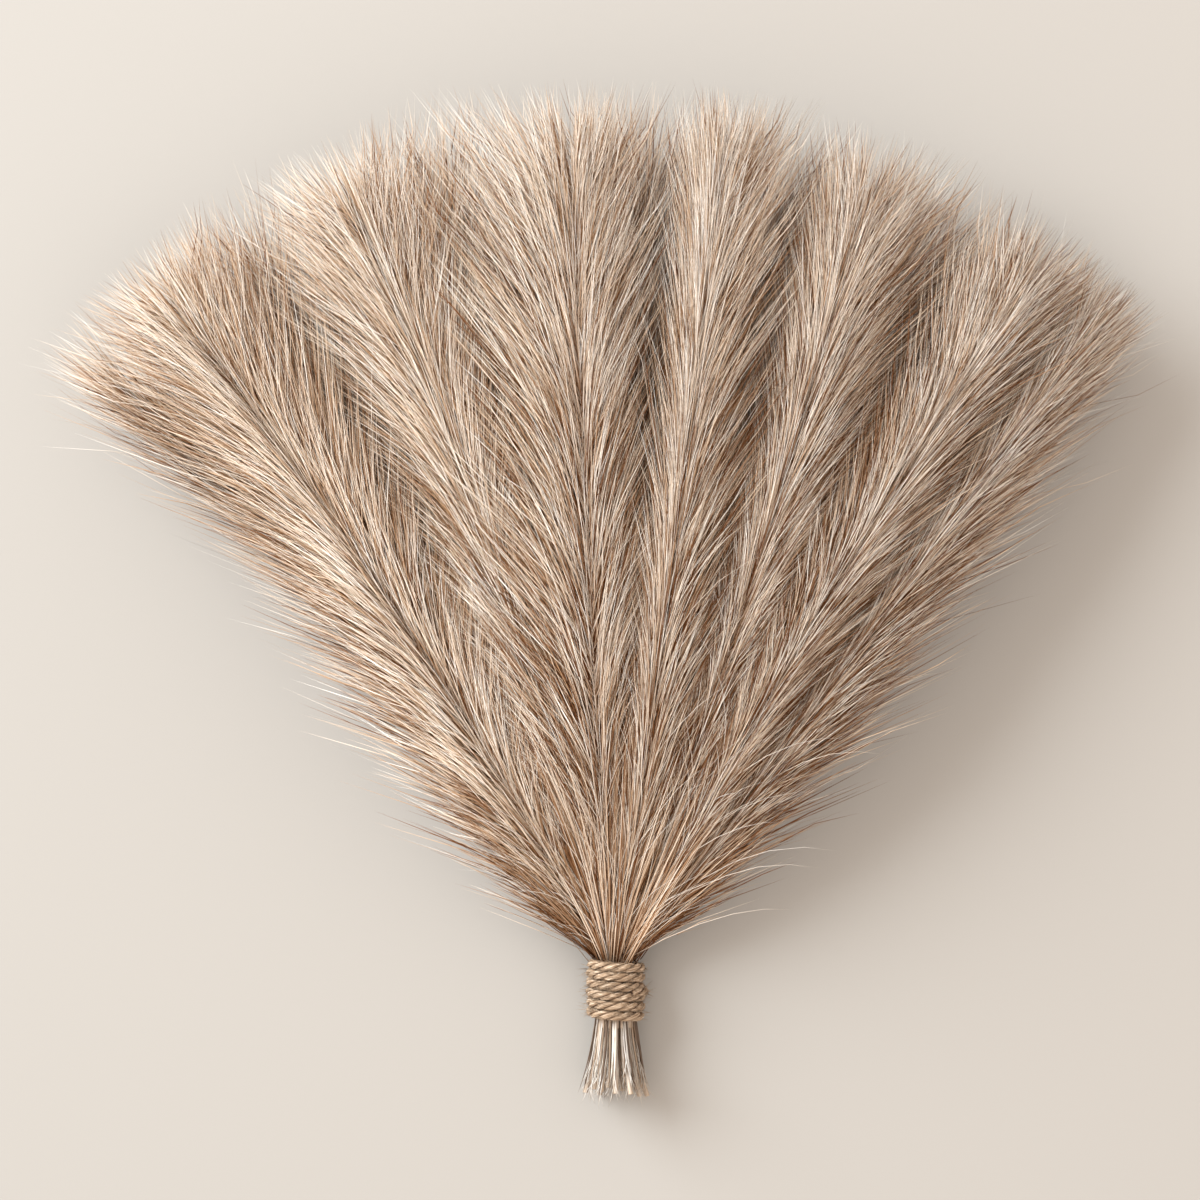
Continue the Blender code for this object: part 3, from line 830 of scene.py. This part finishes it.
twine_tree = make_twine_tree(make_jute_material())
tie = plain_mesh_of("jute_tie", twine_tree, {
    "First Turn": -TWINE_TURNS / 2, "Turns": TWINE_TURNS, "Pitch": TWINE_PITCH, "Shift": 0.0,
    "Coil Radius": COIL_RADIUS, "Ends Tucked": 1.0, "Rings": 260, "Fibres": 900, "Seed": 3,
    "Chart Foot": CHART_FOOT, "Chart Rise": 0.93})
tucked_end = plain_mesh_of("jute_tucked_end", twine_tree, {
    "First Turn": 0.22, "Turns": 0.185, "Pitch": 0.002, "Shift": -0.0013, "Coil Radius": COIL_RADIUS + 0.0013,
    "Ends Tucked": 0.0, "Rings": 14, "Fibres": 40, "Seed": 5, "Chart Foot": 0.95, "Chart Rise": 0.04})
for piece in (tie, tucked_end):
    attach(piece, "root")
    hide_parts("twine_tie")

# ---------------------------------------------------------------------------------------------------------
# The floor is cream paper. The light is one broad soft lamp on the left, like a window, in a pale room. The
# camera looks straight down on the bundle from a tall stand.
# ---------------------------------------------------------------------------------------------------------

FLOOR_REACH = 4
LAMP_PLACE, LAMP_AIM = (-2.35, 1.75, 1.50), (0.0, 0.15, 0.0)
CAMERA_HEIGHT = 1.64
PICTURE_WIDTH = 0.475
PICTURE_MIDDLE = (-0.0063, 0.1568)
MIDDLE_HEIGHT = 0.040

floor_mesh = bpy.data.meshes.new("floor")
floor_mesh.from_pydata([(FLOOR_REACH * x, FLOOR_REACH * y, 0) for x, y in ((-1, -1), (1, -1), (1, 1), (-1, 1))],
                       [], [(0, 1, 2, 3)])
floor = bpy.data.objects.new("floor", floor_mesh)
bpy.context.scene.collection.objects.link(floor)
floor_material, floor_tree, floor_shader = shader_of("cream_paper", 0.9)
floor_x, floor_y, _ = parts_of(place(floor_tree, "ShaderNodeTexCoord", outlet="Object"))
# The paper is a little darker on the left, by the lamp, and lighter to the right and further up: painted shade
# that evens out the lamp's falloff
feed(floor_shader.inputs["Base Color"], ramp(limited(0.5 + 1.0 * floor_x + 0.12 * floor_y, 0, 1), (
    (0.0, (0.352, 0.330, 0.301)), (0.5, (0.366, 0.341, 0.311)), (1.0, (0.372, 0.345, 0.314)))))
floor_mesh.materials.append(floor_material)

world = bpy.data.worlds.new("studio")
bpy.context.scene.world = world
world.use_nodes = True
background = world.node_tree.nodes["Background"]
background.inputs["Color"].default_value = (1.0, 0.914, 0.845, 1)
background.inputs["Strength"].default_value = 1.37

lamp_data = bpy.data.lights.new("window", "AREA")
lamp_data.shape = "DISK"
lamp_data.size = 2.6
lamp_data.energy = 225
lamp_data.color = (0.86, 0.94, 1.0)
lamp = bpy.data.objects.new("window", lamp_data)
bpy.context.scene.collection.objects.link(lamp)
lamp.location = LAMP_PLACE
lamp.rotation_euler = (Vector(LAMP_AIM) - lamp.location).to_track_quat("-Z", "Y").to_euler()

camera_data = bpy.data.cameras.new("camera")
camera = bpy.data.objects.new("camera", camera_data)
bpy.context.scene.collection.objects.link(camera)
camera.location = (*PICTURE_MIDDLE, CAMERA_HEIGHT)
camera_data.lens = camera_data.sensor_width * (CAMERA_HEIGHT - MIDDLE_HEIGHT) / PICTURE_WIDTH
bpy.context.scene.camera = camera
bpy.context.scene.view_settings.view_transform = "Standard"
